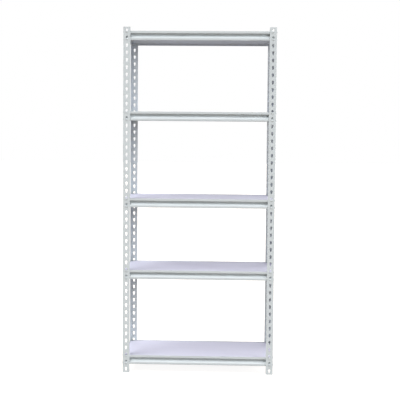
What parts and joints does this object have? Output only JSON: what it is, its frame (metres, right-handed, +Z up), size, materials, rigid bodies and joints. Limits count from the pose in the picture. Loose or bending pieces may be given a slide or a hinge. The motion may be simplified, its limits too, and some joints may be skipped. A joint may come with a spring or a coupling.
{
  "type": "boltless steel shelving",
  "caption": "Boltless steel shelving: keyholed angle posts, riveted beams that hook into them, and folded steel decks that lift off.",
  "frame": {"origin": "on the floor, at the middle of the four posts' footprint", "axes": "+Z up the posts, X along the width, the front facing -Y"},
  "size_m": [0.8058, 0.4058, 1.8288],
  "materials": {
    "post_paint": "satin powder coat, pale grey",
    "beam_paint": "satin powder coat, pale grey",
    "deck_paint": "smooth satin coat, lilac white"
  },
  "bodies": {
    "posts": {"post_front_left": "post_paint", "post_front_right": "post_paint", "post_back_left": "post_paint", "post_back_right": "post_paint"},
    "beam_frame_1": {"beam_front_1": "beam_paint", "beam_back_1": "beam_paint", "beam_left_1": "beam_paint", "beam_right_1": "beam_paint"},
    "deck_tray_1": {"deck_1": "deck_paint", "stiffener_1": "deck_paint"},
    "beam_frame_2": {"beam_front_2": "beam_paint", "beam_back_2": "beam_paint", "beam_left_2": "beam_paint", "beam_right_2": "beam_paint"},
    "deck_tray_2": {"deck_2": "deck_paint", "stiffener_2": "deck_paint"},
    "beam_frame_3": {"beam_front_3": "beam_paint", "beam_back_3": "beam_paint", "beam_left_3": "beam_paint", "beam_right_3": "beam_paint"},
    "deck_tray_3": {"deck_3": "deck_paint", "stiffener_3": "deck_paint"},
    "beam_frame_4": {"beam_front_4": "beam_paint", "beam_back_4": "beam_paint", "beam_left_4": "beam_paint", "beam_right_4": "beam_paint"},
    "deck_tray_4": {"deck_4": "deck_paint", "stiffener_4": "deck_paint"},
    "beam_frame_5": {"beam_front_5": "beam_paint", "beam_back_5": "beam_paint", "beam_left_5": "beam_paint", "beam_right_5": "beam_paint"},
    "deck_tray_5": {"deck_5": "deck_paint", "stiffener_5": "deck_paint"}
  },
  "joints": [
    {"name": "beam_frame_1_unhook", "type": "slide", "parent": "posts", "child": "beam_frame_1", "axis": [0, 0, 1], "range_m": [0, 0.011]},
    {"name": "deck_tray_1_lift", "type": "slide", "parent": "beam_frame_1", "child": "deck_tray_1", "axis": [0, 0, 1], "range_m": [0, 0.3]},
    {"name": "beam_frame_2_unhook", "type": "slide", "parent": "posts", "child": "beam_frame_2", "axis": [0, 0, 1], "range_m": [0, 0.011]},
    {"name": "deck_tray_2_lift", "type": "slide", "parent": "beam_frame_2", "child": "deck_tray_2", "axis": [0, 0, 1], "range_m": [0, 0.3]},
    {"name": "beam_frame_3_unhook", "type": "slide", "parent": "posts", "child": "beam_frame_3", "axis": [0, 0, 1], "range_m": [0, 0.011]},
    {"name": "deck_tray_3_lift", "type": "slide", "parent": "beam_frame_3", "child": "deck_tray_3", "axis": [0, 0, 1], "range_m": [0, 0.3]},
    {"name": "beam_frame_4_unhook", "type": "slide", "parent": "posts", "child": "beam_frame_4", "axis": [0, 0, 1], "range_m": [0, 0.011]},
    {"name": "deck_tray_4_lift", "type": "slide", "parent": "beam_frame_4", "child": "deck_tray_4", "axis": [0, 0, 1], "range_m": [0, 0.3]},
    {"name": "beam_frame_5_unhook", "type": "slide", "parent": "posts", "child": "beam_frame_5", "axis": [0, 0, 1], "range_m": [0, 0.011]},
    {"name": "deck_tray_5_lift", "type": "slide", "parent": "beam_frame_5", "child": "deck_tray_5", "axis": [0, 0, 1], "range_m": [0, 0.3]}
  ]
}
